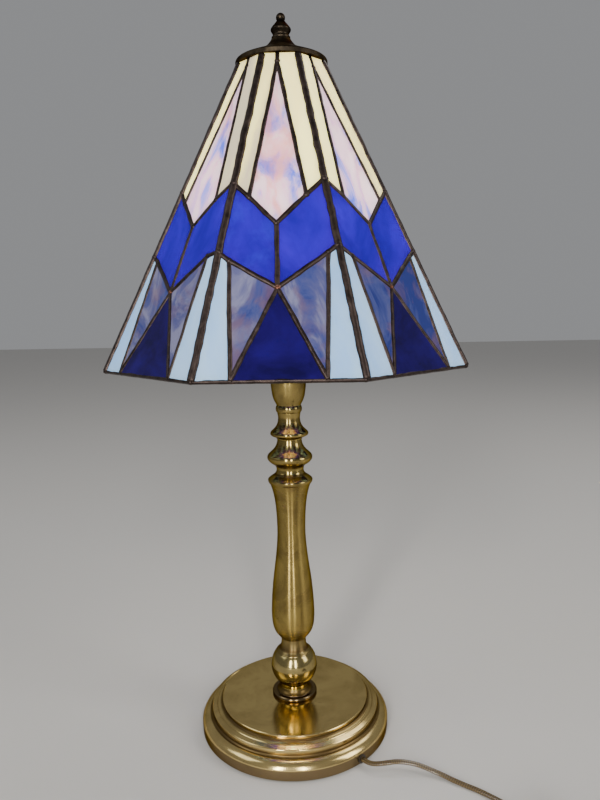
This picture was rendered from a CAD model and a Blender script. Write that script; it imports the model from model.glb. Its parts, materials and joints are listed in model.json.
"""Leaded-glass table lamp on a turned brass base: its looks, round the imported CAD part. Metres, +Z up."""

import json
import math

import bmesh
import bpy
import numpy as np
from mathutils import Matrix, Vector, noise

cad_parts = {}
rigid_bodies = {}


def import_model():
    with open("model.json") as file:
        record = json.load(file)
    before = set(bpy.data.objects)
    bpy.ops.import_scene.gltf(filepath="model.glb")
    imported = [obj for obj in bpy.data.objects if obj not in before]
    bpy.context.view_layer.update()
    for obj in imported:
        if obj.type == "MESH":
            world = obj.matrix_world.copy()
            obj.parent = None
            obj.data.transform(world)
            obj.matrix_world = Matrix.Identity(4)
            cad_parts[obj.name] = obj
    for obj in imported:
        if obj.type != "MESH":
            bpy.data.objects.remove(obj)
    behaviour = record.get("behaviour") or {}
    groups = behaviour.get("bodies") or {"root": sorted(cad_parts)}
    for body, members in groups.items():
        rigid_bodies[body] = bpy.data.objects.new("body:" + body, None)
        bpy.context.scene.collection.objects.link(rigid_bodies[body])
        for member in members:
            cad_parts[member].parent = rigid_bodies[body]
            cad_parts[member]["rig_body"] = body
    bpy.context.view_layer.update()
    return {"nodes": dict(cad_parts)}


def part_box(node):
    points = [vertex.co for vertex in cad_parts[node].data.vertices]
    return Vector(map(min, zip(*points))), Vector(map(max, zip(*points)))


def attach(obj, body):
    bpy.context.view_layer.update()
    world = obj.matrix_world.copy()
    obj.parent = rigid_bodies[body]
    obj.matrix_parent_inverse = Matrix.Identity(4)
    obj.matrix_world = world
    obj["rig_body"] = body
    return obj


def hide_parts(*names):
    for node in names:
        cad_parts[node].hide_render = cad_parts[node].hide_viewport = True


MM = 0.001
UP = (0, 0, 1)

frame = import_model()
NODES = frame["nodes"]


# ---------- Camera ----------

EYE = Vector((0.0299, -0.6139, 0.4081))
HEADING = math.radians(1.81)
PITCH = math.radians(-8.23)
ROLL = math.radians(-1.08)
LENS = 30.26


def add_camera():
    """A phone's wide lens in front of the lamp, looking a little down."""
    reach = math.cos(PITCH)
    ahead = Vector((-math.sin(HEADING) * reach, math.cos(HEADING) * reach, math.sin(PITCH)))
    level = Vector((math.cos(HEADING), math.sin(HEADING), 0))
    above = level.cross(ahead)
    right = math.cos(ROLL) * level + math.sin(ROLL) * above
    up = math.cos(ROLL) * above - math.sin(ROLL) * level
    data = bpy.data.cameras.new("camera")
    data.lens = LENS
    data.sensor_width = 36
    data.clip_start = 0.01
    camera = bpy.data.objects.new("camera", data)
    turn = Matrix((right, up, -ahead)).transposed()
    camera.matrix_world = Matrix.Translation(EYE) @ turn.to_4x4()
    bpy.context.scene.collection.objects.link(camera)
    bpy.context.scene.camera = camera


add_camera()

# ---------- Mesh helpers ----------


def new_piece(name, verts, faces, material, body, replaces, attributes=None, smooth=True):
    """A shown piece from plain lists, on its body, with its material and the CAD nodes it stands for."""
    mesh = bpy.data.meshes.new(name)
    mesh.from_pydata([tuple(v) for v in verts], [], faces)
    mesh.polygons.foreach_set("use_smooth", [smooth] * len(mesh.polygons))
    for key, values in (attributes or {}).items():
        values = np.asarray(values, np.float32)
        kind = "FLOAT" if values.ndim == 1 else "FLOAT_VECTOR"
        layer = mesh.attributes.new(key, kind, "POINT")
        layer.data.foreach_set("value" if values.ndim == 1 else "vector", values.ravel())
    mesh.update()
    piece = bpy.data.objects.new(name, mesh)
    bpy.context.scene.collection.objects.link(piece)
    piece.data.materials.append(material)
    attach(piece, body)
    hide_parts(*replaces)
    return piece


def tube_faces(rings, around, loop=False):
    """Quads joining rings of `around` points each, with both ends capped unless the tube is a loop."""
    faces = []
    for i in range(rings if loop else rings - 1):
        a, b = i * around, (i + 1) % rings * around
        faces += [(a + k, a + (k + 1) % around, b + (k + 1) % around, b + k) for k in range(around)]
    if not loop:
        faces.append(tuple(range(around - 1, -1, -1)))
        faces.append(tuple((rings - 1) * around + k for k in range(around)))
    return faces


def through(points, steps):
    """A smooth line through the points, with `steps` pieces between each two."""
    p = np.array(points, float)
    p = np.vstack([2 * p[0] - p[1], p, 2 * p[-1] - p[-2]])
    out = []
    for a, b, c, d in zip(p, p[1:], p[2:], p[3:]):
        for t in np.arange(steps) / steps:
            square = 2 * a - 5 * b + 4 * c - d
            cube = 3 * b - a - 3 * c + d
            out.append(0.5 * (2 * b + (c - a) * t + square * t**2 + cube * t**3))
    out.append(p[-2])
    return np.array(out)


def unit(v):
    v = np.asarray(v, float)
    return v / max(np.linalg.norm(v), 1e-12)


def headings(path):
    """The direction of travel at each point of a path."""
    ahead = np.gradient(path, axis=0)
    return ahead / np.linalg.norm(ahead, axis=1)[:, None]


def wobble(x, y, z=0.0):
    """Smooth noise from -1 to 1."""
    return noise.noise(Vector((x, y, z)))


# ---------- Material helpers ----------


class Shader:
    """Builds one material's nodes, with short names for the kinds used here."""

    def __init__(self, name):
        self.material = bpy.data.materials.new(name)
        self.material.use_nodes = True
        self.tree = self.material.node_tree
        self.main = self.tree.nodes["Principled BSDF"]
        self.out = self.tree.nodes["Material Output"]

    def put(self, kind, values=None, **settings):
        node = self.tree.nodes.new(kind)
        for key, value in settings.items():
            setattr(node, key, value)
        for key, value in (values or {}).items():
            self.set(node.inputs[key], value)
        return node

    def set(self, socket, value):
        if isinstance(value, bpy.types.NodeSocket):
            self.tree.links.new(value, socket)
        else:
            socket.default_value = value

    def basic(self, **values):
        for key, value in values.items():
            self.set(self.main.inputs[key.replace("_", " ")], value)

    def place(self):
        """The point's place in the row frame."""
        return self.put("ShaderNodeTexCoord").outputs["Object"]

    def attribute(self, name, output="Fac"):
        return self.put("ShaderNodeAttribute", attribute_name=name).outputs[output]

    def stretch(self, vector, scale):
        return self.put("ShaderNodeMapping", {"Vector": vector, "Scale": scale}).outputs[0]

    def noise(self, vector, scale, detail=4.0, roughness=0.5, distortion=0.0):
        values = {"Vector": vector, "Scale": scale, "Detail": detail, "Roughness": roughness}
        values["Distortion"] = distortion
        return self.put("ShaderNodeTexNoise", values).outputs[0]

    def ramp(self, value, *stops):
        """Colours or grey levels along a value; each stop is (position, level or colour)."""
        node = self.put("ShaderNodeValToRGB", {"Fac": value})
        line = node.color_ramp.elements
        while len(line) < len(stops):
            line.new(0.5)
        for element, (position, colour) in zip(line, stops):
            element.position = position
            element.color = (*colour, 1) if isinstance(colour, tuple) else (colour, colour, colour, 1)
        return node.outputs[0]

    def mix(self, share, a, b):
        node = self.put("ShaderNodeMix", data_type="RGBA")
        for socket, value in zip((node.inputs[0], node.inputs[6], node.inputs[7]), (share, a, b)):
            self.set(socket, (*value, 1) if isinstance(value, tuple) and len(value) == 3 else value)
        return node.outputs[2]

    def maths(self, operation, a, b=0.0, clamp=False):
        node = self.put("ShaderNodeMath", operation=operation, use_clamp=clamp)
        self.set(node.inputs[0], a)
        self.set(node.inputs[1], b)
        return node.outputs[0]

    def bump(self, height, strength, distance, under=None):
        values = {"Height": height, "Strength": strength, "Distance": distance}
        node = self.put("ShaderNodeBump", values)
        if under is not None:
            self.set(node.inputs["Normal"], under)
        return node.outputs[0]


# ---------- Metals ----------

BROWNED = (0.115, 0.078, 0.055)
CORNER_DIRT = (0.11, 0.065, 0.025)
SPECKS = (0.16, 0.10, 0.05)
COPPER_COLOUR = (0.20, 0.075, 0.040)
# What the metals keep of their colour where they are seen edge on
BRASS_RIM_TINT = (0.36, 0.31, 0.25, 1)
BRONZE_RIM_TINT = (0.4, 0.36, 0.3, 1)


def turned_brass(name, bright, dull, tarnish, gloss=0.13, grooved=0.8, dark_below=0.0):
    """Old polished brass: fine turning lines, cloudy tarnish, and dirt left in the inner corners.
    Below the height dark_below, in metres, it has gone brown."""
    s = Shader(name)
    at = s.place()
    cloud = s.noise(at, 26, 6, 0.62, 0.6)
    speck = s.noise(at, 420, 3, 0.6)
    around = s.attribute("around", "Vector")
    lines = s.noise(s.stretch(around, (1, 1, 60)), 60, 2, 0.6)
    recess = s.attribute("recess")
    share = s.maths("MULTIPLY", s.ramp(cloud, (0.40, 0.0), (0.66, 1.0)), tarnish, True)
    colour = s.mix(share, bright, dull)
    dirt = s.ramp(s.maths("ADD", recess, s.maths("MULTIPLY", cloud, 0.35)), (0.45, 0.0), (1.0, 0.85))
    colour = s.mix(dirt, colour, CORNER_DIRT)
    colour = s.mix(s.ramp(speck, (0.66, 0.0), (0.74, 0.5)), colour, SPECKS)
    height = s.put("ShaderNodeSeparateXYZ", {0: at}).outputs["Z"]
    low = s.maths("MULTIPLY", s.maths("LESS_THAN", height, dark_below), 0.8)
    colour = s.mix(low, colour, BROWNED)
    rough = s.maths("ADD", s.maths("MULTIPLY", share, 0.10), gloss)
    rough = s.maths("ADD", rough, s.maths("MULTIPLY", dirt, 0.20))
    rough = s.maths("ADD", rough, s.maths("MULTIPLY", lines, 0.05))
    dents = s.bump(s.noise(at, 55, 3), 0.10, 0.0012)
    normal = s.bump(lines, 0.05, 0.0002, dents)
    s.basic(Base_Color=colour, Roughness=rough, Normal=normal, Metallic=1.0)
    s.basic(Anisotropic=grooved, Anisotropic_Rotation=0.25, Specular_Tint=BRASS_RIM_TINT)
    round_axis = s.put("ShaderNodeTangent", direction_type="RADIAL", axis="Z").outputs[0]
    s.basic(Tangent=round_axis)
    return s.material


def patinated(name, dark, warm, gloss):
    """Dark bronze finish, rubbed warmer on the raised places."""
    s = Shader(name)
    at = s.place()
    cloud = s.noise(at, 70, 6, 0.65, 0.5)
    grain = s.noise(at, 900, 3, 0.6)
    recess = s.attribute("recess")
    share = s.maths("SUBTRACT", s.ramp(cloud, (0.40, 0.0), (0.70, 1.0)), recess, True)
    colour = s.mix(share, dark, warm)
    rough = s.maths("ADD", s.maths("MULTIPLY", cloud, 0.22), gloss - 0.1)
    normal = s.bump(grain, 0.12, 0.0003, s.bump(cloud, 0.15, 0.0008))
    s.basic(Base_Color=colour, Roughness=rough, Normal=normal)
    s.basic(Metallic=1.0, Specular_Tint=BRONZE_RIM_TINT)
    return s.material


def solder(name):
    """Patinated solder: brown-black, lumpy, with copper showing at the joints."""
    s = Shader(name)
    at = s.place()
    cloud = s.noise(at, 120, 6, 0.65, 0.8)
    grain = s.noise(at, 800, 4, 0.6)
    joint = s.attribute("joint")
    colour = s.mix(s.ramp(cloud, (0.38, 0.0), (0.66, 1.0)), (0.026, 0.018, 0.016), (0.068, 0.047, 0.040))
    coppery = s.ramp(s.maths("MULTIPLY", joint, s.noise(at, 150, 3)), (0.34, 0.0), (0.62, 0.9))
    colour = s.mix(coppery, colour, COPPER_COLOUR)
    rough = s.maths("ADD", s.maths("MULTIPLY", cloud, 0.30), 0.20)
    normal = s.bump(grain, 0.10, 0.0004, s.bump(cloud, 0.30, 0.0010))
    s.basic(Base_Color=colour, Roughness=rough, Normal=normal, Metallic=0.85)
    return s.material


def plated(name, colour, gloss):
    """Plain plated or cast metal with a fine grain."""
    s = Shader(name)
    at = s.place()
    cloud = s.noise(at, 90, 5, 0.6)
    s.basic(
        Base_Color=s.mix(cloud, tuple(0.75 * c for c in colour), colour),
        Roughness=s.maths("ADD", s.maths("MULTIPLY", cloud, 0.2), gloss),
        Normal=s.bump(s.noise(at, 1200, 3), 0.1, 0.0002),
        Metallic=1.0,
    )
    return s.material


# ---------- Glass and plastics ----------

BULB_GLOW = 20.0
GLASS_GLOSS = 0.10
GLASS_RIPPLE = 0.10


def sheet_glass(name, colour, share, lit):
    """Art glass that lets the given share of the light through; lit is its own glow from the bulb.
    The colour function takes the shader, the sheet coordinates and the pane's own tone."""
    s = Shader(name)
    sheet = s.attribute("sheet", "Vector")
    tone = s.attribute("tone")
    waves = s.noise(s.stretch(sheet, (1, 0.35, 1)), 70, 3, 0.5, 0.4)
    normal = s.bump(s.noise(sheet, 380, 2), 0.04, 0.0005, s.bump(waves, GLASS_RIPPLE, 0.004))
    tint = colour(s, sheet, tone)
    s.basic(Base_Color=tint, Roughness=GLASS_GLOSS, Normal=normal, Metallic=0.0, IOR=1.5)
    s.basic(Emission_Color=tint, Emission_Strength=lit)
    glow = s.put("ShaderNodeBsdfTranslucent", {"Color": tint, "Normal": normal})
    both = s.put("ShaderNodeMixShader", {0: share, 1: s.main.outputs[0], 2: glow.outputs[0]})
    s.set(s.out.inputs["Surface"], both.outputs[0])
    return s.material


def streaks(s, sheet, scale, along, twist):
    """Long wisps like two colours of glass stirred together."""
    return s.noise(s.stretch(sheet, (1, along, 1)), scale, 6, 0.58, twist)


def cream_colour(s, sheet, tone):
    wisp = streaks(s, sheet, 30, 0.14, 0.6)
    return s.ramp(wisp, (0.36, (0.55, 0.49, 0.36)), (0.46, (0.90, 0.80, 0.37)), (0.60, (1.0, 0.94, 0.46)))


def kite_colour(s, sheet, tone):
    wisp = streaks(s, sheet, 44, 0.36, 1.3)
    blush = streaks(s, sheet, 26, 0.5, 0.8)
    colour = s.ramp(
        s.maths("ADD", wisp, s.maths("MULTIPLY", s.maths("SUBTRACT", tone, 0.5), 0.08)),
        (0.36, (0.13, 0.19, 0.82)),
        (0.44, (0.46, 0.43, 0.88)),
        (0.50, (0.86, 0.60, 0.74)),
        (0.62, (0.97, 0.83, 0.88)),
    )
    return s.mix(s.ramp(blush, (0.50, 0.0), (0.62, 0.7)), colour, (0.84, 0.38, 0.34))


def cobalt_colour(s, sheet, tone):
    wisp = streaks(s, sheet, 20, 0.5, 1.0)
    base = s.mix(s.ramp(wisp, (0.40, 0.0), (0.72, 1.0)), (0.038, 0.0, 0.50), (0.098, 0.0, 0.84))
    cloudy = s.ramp(s.maths("MULTIPLY", s.noise(sheet, 42, 5, 0.6), tone), (0.40, 0.0), (0.54, 0.3))
    return s.mix(cloudy, base, (0.08, 0.08, 0.95))


def pale_colour(s, sheet, tone):
    wisp = streaks(s, sheet, 22, 0.4, 0.8)
    return s.mix(s.ramp(wisp, (0.35, 0.0), (0.75, 1.0)), (0.36, 0.62, 0.96), (0.56, 0.79, 1.0))


def mottled_colour(s, sheet, tone):
    wisp = streaks(s, sheet, 40, 0.5, 1.6)
    blush = s.noise(sheet, 36, 4, 0.6, 0.8)
    colour = s.ramp(
        s.maths("ADD", wisp, s.maths("MULTIPLY", s.maths("SUBTRACT", tone, 0.6), 0.22)),
        (0.36, (0.030, 0.045, 0.24)),
        (0.46, (0.075, 0.095, 0.31)),
        (0.56, (0.125, 0.13, 0.32)),
        (0.70, (0.28, 0.28, 0.45)),
    )
    return s.mix(s.ramp(blush, (0.48, 0.0), (0.64, 0.55)), colour, (0.25, 0.14, 0.18))


def navy_colour(s, sheet, tone):
    cloud = s.noise(sheet, 24, 6, 0.62, 0.5)
    return s.mix(s.ramp(cloud, (0.40, 0.0), (0.70, 1.0)), (0.006, 0.0, 0.070), (0.018, 0.002, 0.19))


def frosted_bulb(name):
    """Opal bulb, lit."""
    s = Shader(name)
    at = s.place()
    haze = s.noise(at, 160, 3)
    s.basic(
        Base_Color=s.mix(haze, (0.92, 0.88, 0.80), (0.97, 0.95, 0.90)),
        Roughness=0.35,
        Normal=s.bump(haze, 0.05, 0.0003),
        Emission_Color=(1.0, 0.97, 0.76, 1),
        Emission_Strength=BULB_GLOW,
    )
    return s.material


def plastic(name, colour, gloss, spread=0.8, clear=0.0):
    s = Shader(name)
    at = s.place()
    cloud = s.noise(at, 150, 4)
    s.basic(
        Base_Color=s.mix(cloud, tuple(spread * c for c in colour), colour),
        Roughness=s.maths("ADD", s.maths("MULTIPLY", cloud, 0.12), gloss),
        Normal=s.bump(s.noise(at, 1500, 2), 0.06, 0.0002),
        Subsurface_Weight=clear,
        Subsurface_Scale=0.002,
    )
    return s.material


def amber_flex(name):
    """Clear amber insulation over stranded copper, which shows as a twisted pattern."""
    s = Shader(name)
    run = s.attribute("run", "Vector")
    values = {"Vector": run, "Scale": 160, "Distortion": 1.2, "Detail": 2}
    strands = s.put("ShaderNodeTexWave", values).outputs[0]
    cloud = s.noise(s.place(), 90, 4)
    colour = s.mix(strands, (0.060, 0.038, 0.014), (0.15, 0.10, 0.038))
    colour = s.mix(s.ramp(cloud, (0.35, 0.0), (0.7, 0.5)), colour, (0.10, 0.066, 0.026))
    s.basic(Base_Color=colour, Roughness=0.22, Coat_Weight=0.6, Coat_Roughness=0.12)
    s.basic(Normal=s.bump(strands, 0.05, 0.0003))
    return s.material


def felt(name):
    s = Shader(name)
    at = s.place()
    fibre = s.noise(at, 900, 6, 0.7, 1.5)
    s.basic(
        Base_Color=s.mix(fibre, (0.012, 0.030, 0.016), (0.045, 0.085, 0.050)),
        Roughness=0.95,
        Normal=s.bump(fibre, 0.6, 0.0008),
        Sheen_Weight=0.4,
    )
    return s.material


# The brown bands: up to the top of the base's rim, and up to the top of the flange's outer ring
RIM_TOP = 10.5 * MM
RING_TOP = 34.1 * MM

BRASS = turned_brass("brass", (0.37, 0.27, 0.080), (0.18, 0.125, 0.042), 0.9, 0.20, 0.97)
KNOP_BRASS = turned_brass("brass_knops", (0.37, 0.275, 0.090), (0.18, 0.130, 0.046), 0.9, 0.12, 0.85)
BASE_BRASS = turned_brass("brass_base", (0.74, 0.56, 0.23), (0.52, 0.385, 0.155), 0.9, 0.12, 0.3, RIM_TOP)
BALL_BRASS = turned_brass("brass_ball", (0.41, 0.325, 0.13), (0.22, 0.17, 0.07), 0.9, 0.11, 0.2)
FLANGE_BRASS = turned_brass("brass_flange", (0.46, 0.35, 0.10), (0.21, 0.15, 0.048), 0.9, 0.14, 0.4, RING_TOP)
TARNISHED = turned_brass("brass_tarnished", (0.36, 0.27, 0.10), (0.19, 0.14, 0.06), 1.0, 0.22)
BRONZE = patinated("bronze", (0.026, 0.020, 0.014), (0.080, 0.061, 0.037), 0.46)
DARK_BRONZE = patinated("bronze_dark", (0.018, 0.014, 0.010), (0.060, 0.045, 0.030), 0.34)
SOLDER = solder("solder")
STEEL = plated("steel", (0.62, 0.62, 0.62), 0.18)
IRON = plated("iron", (0.10, 0.10, 0.105), 0.45)
PHENOLIC = plastic("phenolic", (0.022, 0.018, 0.016), 0.28)
GROMMET = plastic("grommet", (0.030, 0.022, 0.015), 0.35)
AMBER = plastic("amber", (0.13, 0.082, 0.030), 0.22, 0.7, 0.3)
FLEX = amber_flex("flex")
FELT = felt("felt")
BULB = frosted_bulb("bulb")

# ---------- Turned pieces ----------

AROUND = 144
CORNER = math.radians(28)
FILLET = 0.35 * MM
CORNER_REACH = 4 * MM
CORNER_DEPTH = 1.2 * MM
# Mesh points of one outline point share a key on this grid
KEYS_PER_METRE = 2e4
# A line of the outline has at least this many copies round the axis
COPIES = 6


def outline_of(node):
    """The turned outline of a CAD node, as an ordered loop of (radius, height), and its axis."""
    low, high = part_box(node)
    centre = (np.array(low) + np.array(high))[:2] / 2
    mesh = NODES[node].data
    co = np.array([v.co for v in mesh.vertices], float)
    radius = np.hypot(co[:, 0] - centre[0], co[:, 1] - centre[1])
    grid = zip(radius * KEYS_PER_METRE, co[:, 2] * KEYS_PER_METRE)
    keys = [(round(r), round(z)) for r, z in grid]
    count = {}
    for edge in mesh.edges:
        a, b = (keys[i] for i in edge.vertices)
        if a != b:
            pair = (min(a, b), max(a, b))
            count[pair] = count.get(pair, 0) + 1
    links = {}
    for (a, b), n in count.items():
        if n >= COPIES:
            links.setdefault(a, []).append(b)
            links.setdefault(b, []).append(a)
    ends = [k for k, near in links.items() if len(near) == 1]
    start = min(ends or links, key=lambda k: (k[1], k[0]))
    loop, seen = [start], {start}
    while True:
        ahead = [k for k in links[loop[-1]] if k not in seen]
        if not ahead:
            break
        ahead.sort(key=lambda k: -count[(min(k, loop[-1]), max(k, loop[-1]))])
        loop.append(ahead[0])
        seen.add(ahead[0])
    return [(r / KEYS_PER_METRE, z / KEYS_PER_METRE) for r, z in loop], centre, bool(ends)


def turn_angle(a, b, c):
    u, v = unit(np.subtract(b, a)), unit(np.subtract(c, b))
    return math.acos(max(-1.0, min(1.0, float(u @ v))))


def softened(outline, open_ends):
    """The outline with its sharp corners eased and its curved stretches made finer."""
    n = len(outline)
    out = []
    for i, b in enumerate(outline):
        if open_ends and i in (0, n - 1):
            out.append(b)
            continue
        a, c = outline[i - 1], outline[(i + 1) % n]
        if turn_angle(a, b, c) < CORNER:
            out.append(b)
            continue
        back, ahead = np.subtract(a, b), np.subtract(c, b)
        reach = min(FILLET, 0.22 * np.linalg.norm(back), 0.22 * np.linalg.norm(ahead))
        p, q, r = np.array(b) + unit(back) * reach, np.array(b), np.array(b) + unit(ahead) * reach
        out.append(tuple(np.array(b) + unit(back) * 2 * reach))
        out += [tuple((1 - t) ** 2 * p + 2 * t * (1 - t) * q + t * t * r) for t in (0, 1 / 3, 2 / 3, 1)]
        out.append(tuple(np.array(b) + unit(ahead) * 2 * reach))
    return out


def corner_depth(line, open_ends):
    """How deep each place of an outline sits in an inner corner or groove, from 0 to 1."""
    closed = np.vstack([line, line[:1]])
    spin = np.sum(closed[:-1, 0] * closed[1:, 1] - closed[1:, 0] * closed[:-1, 1])
    along = np.concatenate([[0], np.cumsum(np.linalg.norm(np.diff(closed, axis=0), axis=1))])
    span = along[-1]
    depths = []
    for s in along[:-1]:
        near = [(s + step) % span for step in (-CORNER_REACH, 0, CORNER_REACH)]
        if open_ends:
            near = [min(max(s + step, 0), along[-2]) for step in (-CORNER_REACH, 0, CORNER_REACH)]
        before, here, after = (np.array([np.interp(t, along, closed[:, c]) for c in (0, 1)]) for t in near)
        chord = after - before
        outward = np.array([chord[1], -chord[0]]) * np.sign(spin)
        rise = ((before + after) / 2 - here) @ outward / max(np.linalg.norm(chord), 1e-9)
        depths.append(rise / CORNER_DEPTH)
    return np.clip(depths, 0, 1)


def lathe(node, material):
    """A smooth turned piece that stands for a CAD node, with how deep each place is in a recess."""
    outline, centre, open_ends = outline_of(node)
    line = np.array(softened(outline, open_ends))
    depth = corner_depth(line, open_ends)
    angles = np.linspace(0, 2 * math.pi, AROUND, endpoint=False)
    rings = [
        np.stack([centre[0] + r * np.cos(angles), centre[1] + r * np.sin(angles), np.full(AROUND, z)], 1)
        for r, z in line
    ]
    verts = np.concatenate(rings)
    faces = tube_faces(len(line), AROUND, loop=not open_ends)
    size = np.hypot(verts[:, 0] - centre[0], verts[:, 1] - centre[1])
    spin = np.stack([np.zeros(len(verts)), 0.02 * np.tile(np.sin(angles), len(line)), size + verts[:, 2]], 1)
    return new_piece(
        node.replace("_", "-"),
        verts,
        faces,
        material,
        body_of(node),
        [node],
        {"recess": np.repeat(depth, AROUND), "around": spin},
    )


def body_of(node):
    return NODES[node]["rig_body"]


def fix_normals(piece):
    mesh = bmesh.new()
    mesh.from_mesh(piece.data)
    bmesh.ops.recalc_face_normals(mesh, faces=mesh.faces)
    mesh.to_mesh(piece.data)
    mesh.free()


TURNED = {
    "base_shell": (BASE_BRASS, "polished_brass"),
    "foot_flange": (FLANGE_BRASS, "polished_brass"),
    "stem_ball": (BALL_BRASS, "polished_brass"),
    "neck_skirt": (TARNISHED, "polished_brass"),
    "column": (BRASS, "polished_brass"),
    "lower_knop": (KNOP_BRASS, "polished_brass"),
    "middle_knop": (KNOP_BRASS, "polished_brass"),
    "upper_knop": (KNOP_BRASS, "polished_brass"),
    "bead_ring": (KNOP_BRASS, "polished_brass"),
    "socket_cup": (KNOP_BRASS, "polished_brass"),
    "harp_sleeve_left": (BRASS, "polished_brass"),
    "harp_sleeve_right": (BRASS, "polished_brass"),
    "lampholder_cap": (BRASS, "polished_brass"),
    "lampholder_shell": (BRASS, "polished_brass"),
    "bulb_cap": (STEEL, "steel"),
    "bulb_glass": (BULB, "bulb_glass"),
    "top_ring": (BRONZE, "patina_bronze"),
    "vase_cap": (BRONZE, "patina_bronze"),
    "finial_washer": (DARK_BRONZE, "patina_bronze"),
    "finial": (DARK_BRONZE, "patina_bronze"),
    "felt_pad": (FELT, "felt"),
}
for node, (material, slot) in TURNED.items():
    fix_normals(lathe(node, material))

# Small and hidden pieces keep their CAD shape
PLAIN = {
    "base_weight": IRON,
    "base_washer": STEEL,
    "base_nut": STEEL,
    "threaded_tube": STEEL,
    "harp_saddle": BRASS,
    "harp_bow": BRASS,
    "harp_stud": BRASS,
    "lampholder_insert": PHENOLIC,
    "terminal_screws": BRASS,
    "screw_shell": STEEL,
    "centre_contact": BRASS,
    "switch_bar": PHENOLIC,
    "bulb_tip": STEEL,
    "inner_flex": FLEX,
    "cord_grommet": GROMMET,
    "cord_tie": PHENOLIC,
    "plug_pins": STEEL,
}
for node, material in PLAIN.items():
    NODES[node].data.materials.clear()
    NODES[node].data.materials.append(material)

# ---------- Lines of the shade ----------

SIDES = 8
HALF_SIDE = math.pi / SIDES
FOOT_Z, FOOT_R = 0.355, 0.162
TOP_Z, TOP_R = 0.610, 0.038
CUT_Z = 0.609
KITE_TIP_Z = 0.6006
UPPER_RIDGE_Z, UPPER_VALLEY_Z = 0.5005, 0.4683
LOWER_RIDGE_Z, LOWER_VALLEY_Z = 0.4480, 0.4193
KITE_SHARE, KITE_LIFT = 0.6, 1.4 * MM
STRIP_SHARE, STRIP_FOOT = 0.795, 34.5 * MM
GLASS_T = 3 * MM
LEAN = math.atan((FOOT_R - TOP_R) * math.cos(HALF_SIDE) / (TOP_Z - FOOT_Z))
FOOT_FLAT = FOOT_R * math.cos(HALF_SIDE)

# How far the maker's hand moved the joints of the three front faces, in mm across and up the face
MOVED = {
    0: {
        "top_middle": (-1.5, 0), "tip": (-1.5, 1), "kite_left": (-1.5, -1), "kite_right": (0, 0),
        "valley": (-1.5, -1), "low_valley": (-0.5, 0), "strip_left": (-1, -2.5), "strip_right": (1.5, 3),
        "base_left": (1, 0), "base_right": (0.5, 0),
    },
    1: {
        "top_middle": (-1, 0), "tip": (-1, -2), "kite_left": (1.5, 0), "kite_right": (3, 0),
        "valley": (0, 0), "low_valley": (0, -0.5), "strip_left": (2.5, 0), "strip_right": (1, 1.5),
        "base_left": (3, 0), "base_right": (2, 0),
    },
    7: {
        "top_middle": (-1, 0), "tip": (0, 1), "kite_left": (-3, 1.5), "kite_right": (-1.5, -0.5),
        "valley": (-0.5, 1), "low_valley": (-1, -1.5), "strip_left": (-0.5, 1.5), "strip_right": (-2, 2),
        "base_left": (-1.5, 0), "base_right": (0, 0),
    },
}
# The same for the joints on the ridges, in mm up the slope: upper, then lower
RIDGE_MOVED = {6: (0.5, 0), 7: (-1, -1.5), 0: (1, 2), 1: (-2.5, 0.5)}
HAND_SPREAD = 1.0


def slope(z):
    return (z - FOOT_Z) / math.cos(LEAN)


def half_width(z):
    return (FOOT_R + (TOP_R - FOOT_R) * (z - FOOT_Z) / (TOP_Z - FOOT_Z)) * math.sin(HALF_SIDE)


def part_way(a, b, share):
    return np.array(a) + share * (np.array(b) - np.array(a))


def moved_ridge(k):
    """The shifts of the joints on the ridge to the right of face k."""
    return RIDGE_MOVED.get(k, np.random.default_rng(50 + k).normal(0, HAND_SPREAD, 2))


def joints_of(k):
    """Where the seams of face k meet, in its own plane: across it, then up its slope."""
    valley, low_valley = (0, slope(UPPER_VALLEY_Z)), (0, slope(LOWER_VALLEY_Z))
    kite = part_way(valley, (half_width(UPPER_RIDGE_Z), slope(UPPER_RIDGE_Z)), KITE_SHARE) + (0, KITE_LIFT)
    strip = part_way(low_valley, (half_width(LOWER_RIDGE_Z), slope(LOWER_RIDGE_Z)), STRIP_SHARE)
    at = {
        "top_middle": (0, slope(CUT_Z)), "tip": (0, slope(KITE_TIP_Z)),
        "valley": valley, "low_valley": low_valley,
    }
    for side, sign in (("left", -1), ("right", 1)):
        at["kite_" + side] = (sign * kite[0], kite[1])
        at["strip_" + side] = (sign * strip[0], strip[1])
        at["base_" + side] = (sign * STRIP_FOOT, 0)
    dice = np.random.default_rng(k)
    for name in MOVED[0]:
        across, up = MOVED[k][name] if k in MOVED else dice.normal(0, HAND_SPREAD, 2)
        fixed = name == "top_middle" or name.startswith("base")
        at[name] = (at[name][0] + across * MM, at[name][1] + (0 if fixed else up * MM))
    for side, sign, ridge in (("left", -1, (k - 1) % SIDES), ("right", 1, k)):
        upper, lower = moved_ridge(ridge)
        heights = {
            "top": CUT_Z, "foot": FOOT_Z,
            "upper": UPPER_RIDGE_Z + upper * MM, "lower": LOWER_RIDGE_Z + lower * MM,
        }
        for name, z in heights.items():
            at[f"{name}_{side}"] = (sign * half_width(z), slope(z))
    return {name: np.array(place) for name, place in at.items()}


JOINTS = [joints_of(k) for k in range(SIDES)]
ON_RIDGE = {f"{name}_{side}" for name in ("top", "upper", "lower", "foot") for side in ("left", "right")}


def turned_by(k, p):
    a = k * 2 * HALF_SIDE
    x, y, z = p
    return np.array([x * math.cos(a) - y * math.sin(a), x * math.sin(a) + y * math.cos(a), z])


def on_face(k, point, depth=GLASS_T / 2):
    """A point of face k's plane in the row frame, sunk to that depth below its outer surface."""
    u, v = point
    out = -FOOT_FLAT + v * math.sin(LEAN) + depth * math.cos(LEAN)
    return turned_by(k, (u, out, FOOT_Z + v * math.cos(LEAN) - depth * math.sin(LEAN)))


def face_normal(k):
    return turned_by(k, (0, -math.cos(LEAN), math.sin(LEAN)))


# ---------- Panes ----------

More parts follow.
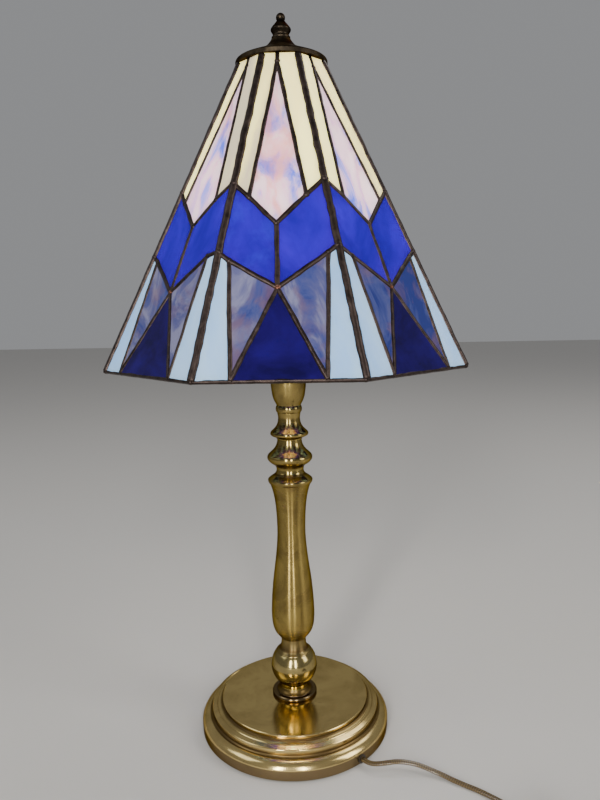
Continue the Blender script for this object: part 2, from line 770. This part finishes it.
SEAM_GAP = 0.9 * MM
RIDGE_GAP = 2.2 * MM
EDGE_GAP = 0.3 * MM
SHEET_SPREAD = 0.6
# Each kind of pane: its glass, the share of light let through, its glow, and how far its streaks may turn
GLASS = {
    "cream_strips": ("cream_glass", cream_colour, 0.45, 1.7, 0.1),
    "kite_panes": ("kite_glass", kite_colour, 0.45, 0.9, 0.15),
    "cobalt_panes": ("cobalt_glass", cobalt_colour, 0.60, 0.12, 0.5),
    "pale_strips": ("pale_glass", pale_colour, 0.30, 0.25, 0.2),
    "mottled_panes": ("mottled_glass", mottled_colour, 0.35, 0.0, 0.5),
    "navy_panes": ("navy_glass", navy_colour, 0.40, 0.0, 0.5),
}
# The joints round each pane, anticlockwise
PANES = {
    "cream_strips": [
        ("upper_right", "top_right", "top_middle", "tip", "kite_right"),
        ("upper_left", "kite_left", "tip", "top_middle", "top_left"),
    ],
    "kite_panes": [("valley", "kite_right", "tip", "kite_left")],
    "cobalt_panes": [
        ("low_valley", "lower_right", "upper_right", "kite_right", "valley"),
        ("low_valley", "valley", "kite_left", "upper_left", "lower_left"),
    ],
    "pale_strips": [
        ("foot_right", "lower_right", "strip_right", "base_right"),
        ("foot_left", "base_left", "strip_left", "lower_left"),
    ],
    "mottled_panes": [("base_right", "strip_right", "low_valley"), ("base_left", "low_valley", "strip_left")],
    "navy_panes": [("base_left", "base_right", "low_valley")],
}


def gap_beside(a, b):
    """How far a pane stays back from the line between two joints."""
    if {a, b} <= ON_RIDGE:
        return RIDGE_GAP
    ends = {a.split("_")[0], b.split("_")[0]}
    return EDGE_GAP if ends <= {"base", "foot"} or ends == {"top"} else SEAM_GAP


def inset(points, gaps):
    """An outline with each edge moved inwards by its own gap."""
    n = len(points)
    lines = []
    for i, gap in enumerate(gaps):
        along = unit(points[(i + 1) % n] - points[i])
        lines.append((points[i] + gap * np.array([-along[1], along[0]]), along))
    out = []
    for (p, d), (q, e) in zip([lines[-1]] + lines[:-1], lines):
        out.append(p + d * ((q - p)[0] * e[1] - (q - p)[1] * e[0]) / (d[0] * e[1] - d[1] * e[0]))
    return out


def add_panes(node):
    """The panes of one kind, reaching under the solder, each cut from its own place in a sheet."""
    slot, colour, share, lit, turn_limit = GLASS[node]
    verts, faces, sheet, tone = [], [], [], []
    dice = np.random.default_rng(sum(map(ord, node)))
    for k in range(SIDES):
        for names in PANES[node]:
            gaps = [gap_beside(a, b) for a, b in zip(names, names[1:] + names[:1])]
            outline = np.array(inset([JOINTS[k][name] for name in names], gaps))
            n, base = len(outline), len(verts)
            verts += [on_face(k, p, 0) for p in outline] + [on_face(k, p, GLASS_T) for p in outline]
            faces.append(tuple(base + i for i in range(n)))
            faces.append(tuple(base + n + i for i in range(n - 1, -1, -1)))
            faces += [(base + i, base + n + i, base + n + (i + 1) % n, base + (i + 1) % n) for i in range(n)]
            turn = dice.uniform(-turn_limit, turn_limit)
            shift = dice.uniform(-SHEET_SPREAD, SHEET_SPREAD, 3)
            c, s = math.cos(turn), math.sin(turn)
            flat = [(u * c - v * s + shift[0], u * s + v * c + shift[1], shift[2]) for u, v in outline]
            sheet += flat * 2
            tone += [dice.uniform(0, 1)] * 2 * n
    return new_piece(
        slot.replace("_", "-"),
        verts,
        faces,
        sheet_glass(slot, colour, share, lit),
        "shade",
        [node],
        {"sheet": sheet, "tone": tone},
        smooth=False,
    )


for node in PANES:
    fix_normals(add_panes(node))

# ---------- Soldered seams ----------

PROUD = 1.0 * MM
STEP = 2 * MM
BEAD_SIDES = 14
# Half the width of each kind of seam
ZIGZAG_W, MULLION_W, STRIP_W, KITE_W, RIDGE_W = 2.4 * MM, 2.35 * MM, 2.15 * MM, 2.15 * MM, 3.15 * MM
# How far a seam wanders, the length over which it leaves a joint, and how far copper shows from one
WANDER = 0.5 * MM
EASE = 8 * MM
COPPER_REACH = 6 * MM
# The drops at the joints: half their width, and how much thicker than the seams they are
DROP_W, DROP_RISE = 3.0 * MM, 0.35 * MM
RIDGE_DROP_W, RIDGE_DROP_RISE = 3.6 * MM, 0.6 * MM
RIDGE_RISE = 0.3 * MM
# How much copper shows where nothing else is said, and at the rim
FAINT, FAINT_AT_RIM = 0.2, 0.3
# The rim: half its width, half its thickness, and the same for the drops on it
RIM_W, RIM_T = 2.3 * MM, 1.8 * MM
CORNER_DROP_W, CORNER_DROP_T = 2.8 * MM, 2.0 * MM
END_DROP_W, END_DROP_T = 2.5 * MM, 1.9 * MM
SEAMS = [
    ("top_middle", "tip", KITE_W),
    ("valley", "low_valley", MULLION_W),
]
for side in ("left", "right"):
    SEAMS += [
        ("tip", "kite_" + side, KITE_W),
        ("upper_" + side, "kite_" + side, ZIGZAG_W),
        ("kite_" + side, "valley", ZIGZAG_W),
        ("lower_" + side, "strip_" + side, ZIGZAG_W),
        ("strip_" + side, "low_valley", ZIGZAG_W),
        ("strip_" + side, "base_" + side, STRIP_W),
        ("low_valley", "base_" + side, STRIP_W),
    ]
RIDGE = ("top_right", "upper_right", "lower_right", "foot_right")
DROPS = ("tip", "kite_left", "kite_right", "valley", "low_valley", "strip_left", "strip_right")
COPPER = {"low_valley": 1.0, "valley": 0.6}


class Beads:
    """Collects the lumpy beads of solder of one piece."""

    def __init__(self):
        self.verts, self.faces, self.joint = [], [], []

    def bead(self, start, end, normal, half, thick, seed, hot=(0, 0)):
        """A bead from start to end, with a handmade wander; hot marks ends where the copper shows."""
        start, end = np.array(start), np.array(end)
        length = np.linalg.norm(end - start)
        along = (end - start) / length
        side = unit(np.cross(along, normal))
        out = unit(np.cross(side, along))
        rings = max(4, round(length / STEP))
        base = len(self.verts)
        for i in range(rings + 1):
            s = length * i / rings
            drift = min(1.0, s / EASE, (length - s) / EASE)
            centre = start + along * s + side * WANDER * drift * wobble(s * 60, seed, 1.7)
            wide = half * (1 + 0.16 * wobble(s * 130, seed, 5.1))
            tall = thick * (1 + 0.10 * wobble(s * 110, seed, 9.3))
            fade = (math.exp(-s / COPPER_REACH), math.exp(-(length - s) / COPPER_REACH))
            near = max(hot[0] * fade[0], hot[1] * fade[1])
            for k in range(BEAD_SIDES):
                a = 2 * math.pi * k / BEAD_SIDES
                lump = 1 + 0.05 * wobble(s * 300, 3 * math.cos(a) + seed, 3 * math.sin(a))
                flat = math.copysign(abs(math.sin(a)) ** 0.8, math.sin(a))
                self.verts.append(centre + lump * (side * wide * math.cos(a) + out * tall * flat))
                self.joint.append(near)
        self.faces += [tuple(base + i for i in f) for f in tube_faces(rings + 1, BEAD_SIDES)]

    def blob(self, centre, normal, half, thick, seed, hot):
        """A flattened drop of solder where seams meet."""
        normal = unit(normal)
        side = unit(np.cross(normal, [0.3, 0.2, 1]))
        up = np.cross(normal, side)
        base, rows = len(self.verts), 7
        for i in range(rows):
            lat = math.pi * (i + 0.5) / rows
            for k in range(BEAD_SIDES):
                a = 2 * math.pi * k / BEAD_SIDES
                grow = half * (1 + 0.22 * wobble(2 * math.cos(a) + seed, 2 * math.sin(a)))
                flat = side * math.cos(a) + up * math.sin(a)
                self.verts.append(centre + flat * grow * math.sin(lat) + normal * thick * math.cos(lat))
                self.joint.append(hot)
        self.faces += [tuple(base + i for i in f) for f in tube_faces(rows, BEAD_SIDES)]


def add_seams():
    """Every seam of the shade as one piece, with a drop of solder at each joint."""
    work = Beads()
    thick = GLASS_T / 2 + PROUD
    for k, at in enumerate(JOINTS):
        normal = face_normal(k)
        for n, (a, b, wide) in enumerate(SEAMS):
            hot = [COPPER.get(name, FAINT) for name in (a, b)]
            work.bead(on_face(k, at[a]), on_face(k, at[b]), normal, wide, thick, 17 * k + 1.3 * n, hot)
        for n, name in enumerate(DROPS):
            hot = COPPER.get(name, FAINT)
            work.blob(on_face(k, at[name]), normal, DROP_W, thick + DROP_RISE, 31 * k + n, hot)
        corner = normal + face_normal(k + 1)
        ends = [at[name] for name in RIDGE]
        ends[0] = part_way(ends[0], ends[1], 1 * MM / np.linalg.norm(ends[1] - ends[0]))
        for n, (a, b) in enumerate(zip(ends, ends[1:])):
            seed = 101 + 7 * k + n
            tall = thick + RIDGE_RISE
            work.bead(on_face(k, a), on_face(k, b), corner, RIDGE_W, tall, seed, (FAINT, FAINT))
        for n, place in enumerate(ends[1:-1]):
            tall = thick + RIDGE_DROP_RISE
            work.blob(on_face(k, place), corner, RIDGE_DROP_W, tall, 161 + 7 * k + n, FAINT)
    return new_piece(
        "soldered-seams", work.verts, work.faces, SOLDER,
        "shade", ["solder_network"], {"joint": work.joint},
    )


def add_rim():
    """The reinforced lower edge, with the seams' ends run into it."""
    work = Beads()
    low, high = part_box("rim_bead")
    z = (low[2] + high[2]) / 2 + 0.5 * MM
    reach = high[0] - RIM_W
    ring_r = reach / math.cos(HALF_SIDE)
    angles = [HALF_SIDE * (2 * k - 1) for k in range(SIDES + 1)]
    corners = [np.array([ring_r * math.sin(a), -ring_r * math.cos(a), z]) for a in angles]
    for k, (a, b) in enumerate(zip(corners, corners[1:])):
        work.bead(a, b, UP, RIM_W, RIM_T, 211 + 5 * k, (FAINT, FAINT))
        work.blob(a, UP, CORNER_DROP_W, CORNER_DROP_T, 301 + k, FAINT_AT_RIM)
        for n, name in enumerate(("base_left", "base_right")):
            place = turned_by(k, (JOINTS[k][name][0], -reach, z))
            work.blob(place, UP, END_DROP_W, END_DROP_T, 401 + 3 * k + n, FAINT_AT_RIM)
    return new_piece(
        "rim-bead", work.verts, work.faces, SOLDER,
        "shade", ["rim_bead"], {"joint": work.joint},
    )


fix_normals(add_seams())
fix_normals(add_rim())

# ---------- Cord ----------

LOBE_R = 1.35 * MM
LOBE_GAP = 1.28 * MM
COIL = np.array([0.190, -0.178])
JOIN = math.radians(45)
LEAVE = math.radians(150)
# The coil's turns: their radii, their heights, and which of each the turns take in order
COLUMNS = (34.6 * MM, 31.2 * MM, 27.8 * MM)
ROWS = (3.65 * MM, 9.0 * MM, 14.3 * MM)
LAYERS = ((0, 0), (1, 0), (2, 0), (2, 1), (1, 1), (0, 1), (0, 2), (1, 2))
TURN_POINTS = 24
# The last part of each turn, over which the cord moves to the next
SHIFT = 0.3
STEPS = 3
# The length over which the flat flex turns on edge, and the length of the lead to the plug that lies flat
TWIST = 0.06
FLAT_LEAD = 0.075
# The cord's route on the table, then from the coil to the plug
RUN = [
    (0.0622, -0.0672, 0.0058), (0.0665, -0.0716, 0.0062), (0.071, -0.075, 0.0072), (0.077, -0.077, 0.0088),
    (0.084, -0.077, 0.0098), (0.092, -0.076, 0.0100), (0.101, -0.076, 0.0093), (0.110, -0.077, 0.0077),
    (0.119, -0.0795, 0.0056), (0.128, -0.083, 0.0037), (0.137, -0.088, 0.0023), (0.146, -0.0935, 0.0017),
    (0.155, -0.099, 0.0015), (0.163, -0.105, 0.0015), (0.171, -0.1115, 0.0016), (0.180, -0.119, 0.0019),
    (0.1885, -0.1275, 0.0026), (0.1972, -0.1363, 0.0032), (0.2028, -0.1419, 0.0034),
]
LEAD = [
    (0.1722, -0.1526, 0.0148), (0.181, -0.1445, 0.0165), (0.189, -0.141, 0.0186), (0.196, -0.1402, 0.0204),
    (0.2035, -0.1417, 0.0220), (0.210, -0.1462, 0.0231), (0.2143, -0.1526, 0.0236), (0.216, -0.160, 0.0238),
    (0.216, -0.166, 0.0238),
]


def coil_points():
    """The turns of the coil, clockwise from where the cord joins it: layer by layer, with some slack."""
    points = []
    turns = len(LAYERS) - 1 + (JOIN - LEAVE) % (2 * math.pi) / (2 * math.pi)
    for i in range(round(turns * TURN_POINTS) + 1):
        t = i / TURN_POINTS
        layer = min(int(t), len(LAYERS) - 1)
        share = max(0.0, (t - layer - 1 + SHIFT) / SHIFT)
        share = share * share * (3 - 2 * share)
        here = np.array([COLUMNS[LAYERS[layer][0]], ROWS[LAYERS[layer][1]]])
        after = LAYERS[min(layer + 1, len(LAYERS) - 1)]
        radius, height = here + share * (np.array([COLUMNS[after[0]], ROWS[after[1]]]) - here)
        radius += 0.35 * MM * wobble(t * 3.1, 2.2)
        angle = JOIN - 2 * math.pi * t
        points.append((COIL[0] + radius * math.cos(angle), COIL[1] + radius * math.sin(angle), height))
    return points


def add_cord():
    """Twin flex from the grommet to the plug: flat on the table, on edge in the coil."""
    path = through(RUN + coil_points() + LEAD, STEPS)
    along = np.concatenate([[0], np.cumsum(np.linalg.norm(np.diff(path, axis=0), axis=1))])
    run_end = along[STEPS * (len(RUN) - 1)]
    lead_start = along[-1] - FLAT_LEAD
    ahead = headings(path)
    section = []
    for centre, first, last in ((1, -140, 140), (-1, 40, 320)):
        for a in np.radians(np.linspace(first, last, 9)):
            section.append((centre * LOBE_GAP + LOBE_R * math.cos(a), LOBE_R * math.sin(a)))
    verts, run = [], []
    for p, d, s in zip(path, ahead, along):
        rising, falling = (s - run_end + TWIST) / TWIST, (lead_start + TWIST - s) / TWIST
        edge = np.clip(rising, 0, 1) * np.clip(falling, 0, 1)
        roll = math.pi / 2 * edge * edge * (3 - 2 * edge)
        level = unit(np.cross(d, UP))
        above = np.cross(level, d)
        wide = level * math.cos(roll) + above * math.sin(roll)
        thin = above * math.cos(roll) - level * math.sin(roll)
        for x, y in section:
            verts.append(p + wide * x + thin * y)
            run.append((s, x * 40, y * 40))
    flex = new_piece(
        "flex",
        verts,
        tube_faces(len(path), len(section)),
        FLEX,
        "lamp",
        ["cord_tube", "cord_coil"],
        {"run": run},
    )
    fix_normals(flex)
    return flex, path


def lofted(name, rings, material, replaces):
    """A piece through a list of (place, half width, half height, squareness), along -Y."""
    around = 40
    verts = []
    for (x, y, z), wide, tall, square in rings:
        for k in range(around):
            a = 2 * math.pi * k / around
            c, s = math.cos(a), math.sin(a)
            grow = (abs(c) ** square + abs(s) ** square) ** (-1 / square)
            verts.append((x + wide * grow * c, y, z + tall * grow * s))
    piece = new_piece(name, verts, tube_faces(len(rings), around), material, "lamp", replaces)
    fix_normals(piece)
    return piece


# The plug's strain relief: its length, its ribs with their pitch and growth in mm, and their grooves
RELIEF_L = 22 * MM
RIBS, RIB_PITCH, RIB_GROWTH = 5, 3.6, 0.42
GROOVE = 0.82


def add_plug():
    """Moulded flat plug: a ribbed strain relief that widens into a rounded body."""
    low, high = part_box("plug_body")
    x, z = (low[0] + high[0]) / 2, (low[2] + high[2]) / 2
    half_w, half_t = (high[0] - low[0]) / 2, (high[2] - low[2]) / 2
    tail, front = high[1], low[1]
    rings = [((x, tail, z), 2.4 * MM, 1.6 * MM, 2), ((x, tail - 0.4 * MM, z), 3.0 * MM, 2.2 * MM, 2)]
    for i in range(RIBS):
        y = tail - (2 + RIB_PITCH * i) * MM
        grow = (3.0 + RIB_GROWTH * i) * MM
        for dy, cut in ((0, 1.0), (1.1, 1.0), (1.5, GROOVE), (3.0, GROOVE), (3.4, 1.0)):
            rings.append(((x, y - dy * MM, z), grow * cut, 0.82 * grow * cut, 2.2))
    body_start = tail - RELIEF_L
    shape = (
        (-0.5, 0.30, 0.62), (0.5, 0.36, 0.70), (2.5, 0.62, 0.86),
        (6, 0.86, 0.96), (10, 0.96, 1.0), (16, 0.98, 1.0),
    )
    for dy, w, t in shape:  # mm along, then shares of the width and the thickness
        rings.append(((x, body_start - dy * MM, z), half_w * w, half_t * t, 2.6))
    for y, w in ((front + 8 * MM, 1.0), (front + 1.2 * MM, 1.0), (front + 0.3 * MM, 0.97), (front, 0.93)):
        rings.append(((x, y, z), half_w * w, half_t * w, 3.2))
    return lofted("plug-body", rings, AMBER, ["plug_body"])


flex, cord_path = add_cord()
plug = add_plug()

# ---------- Setting ----------

FLOOR_REACH = 6.0
SURROUND = (0.72, 0.73, 0.75, 1)
SURROUND_STRENGTH = 0.38
WARM, COOL = (1.0, 0.98, 0.95), (0.92, 0.96, 1.0)
DAYLIGHT, SOFT_WHITE = (1.0, 0.99, 0.96), (1.0, 0.98, 0.96)


def add_floor():
    mesh = bpy.data.meshes.new("floor")
    corners = [(x * FLOOR_REACH, y * FLOOR_REACH, 0) for x, y in ((-1, -1), (1, -1), (1, 1), (-1, 1))]
    mesh.from_pydata(corners, [], [(0, 1, 2, 3)])
    floor = bpy.data.objects.new("floor", mesh)
    s = Shader("floor")
    s.basic(Base_Color=(0.62, 0.60, 0.57, 1), Roughness=0.7)
    mesh.materials.append(s.material)
    bpy.context.scene.collection.objects.link(floor)


def add_light(name, place, target, size, power, colour):
    data = bpy.data.lights.new(name, "AREA")
    data.shape = "RECTANGLE"
    data.size, data.size_y = size
    data.energy = power
    data.color = colour
    light = bpy.data.objects.new(name, data)
    light.location = place
    light.rotation_euler = (Vector(target) - Vector(place)).to_track_quat("-Z", "Y").to_euler()
    bpy.context.scene.collection.objects.link(light)


def add_world():
    world = bpy.data.worlds.new("world")
    world.use_nodes = True
    background = world.node_tree.nodes["Background"]
    background.inputs["Color"].default_value = SURROUND
    background.inputs["Strength"].default_value = SURROUND_STRENGTH
    bpy.context.scene.world = world


add_floor()
add_light("window_left", (-0.70, -2.3, 0.95), (0, 0, 0.20), (0.30, 1.5), 38, DAYLIGHT)
add_light("window_right", (0.42, -2.3, 0.95), (0, 0, 0.20), (0.26, 1.5), 26, DAYLIGHT)
add_light("side", (1.7, -0.6, 1.2), (0, 0, 0.30), (0.7, 1.2), 14, WARM)
add_light("sky", (-1.5, -0.5, 1.6), (0, 0, 0.3), (1.0, 1.0), 6, COOL)
add_light("back", (1.1, 1.1, 2.3), (0, 0, 0.4), (1.2, 1.0), 10, SOFT_WHITE)
add_world()
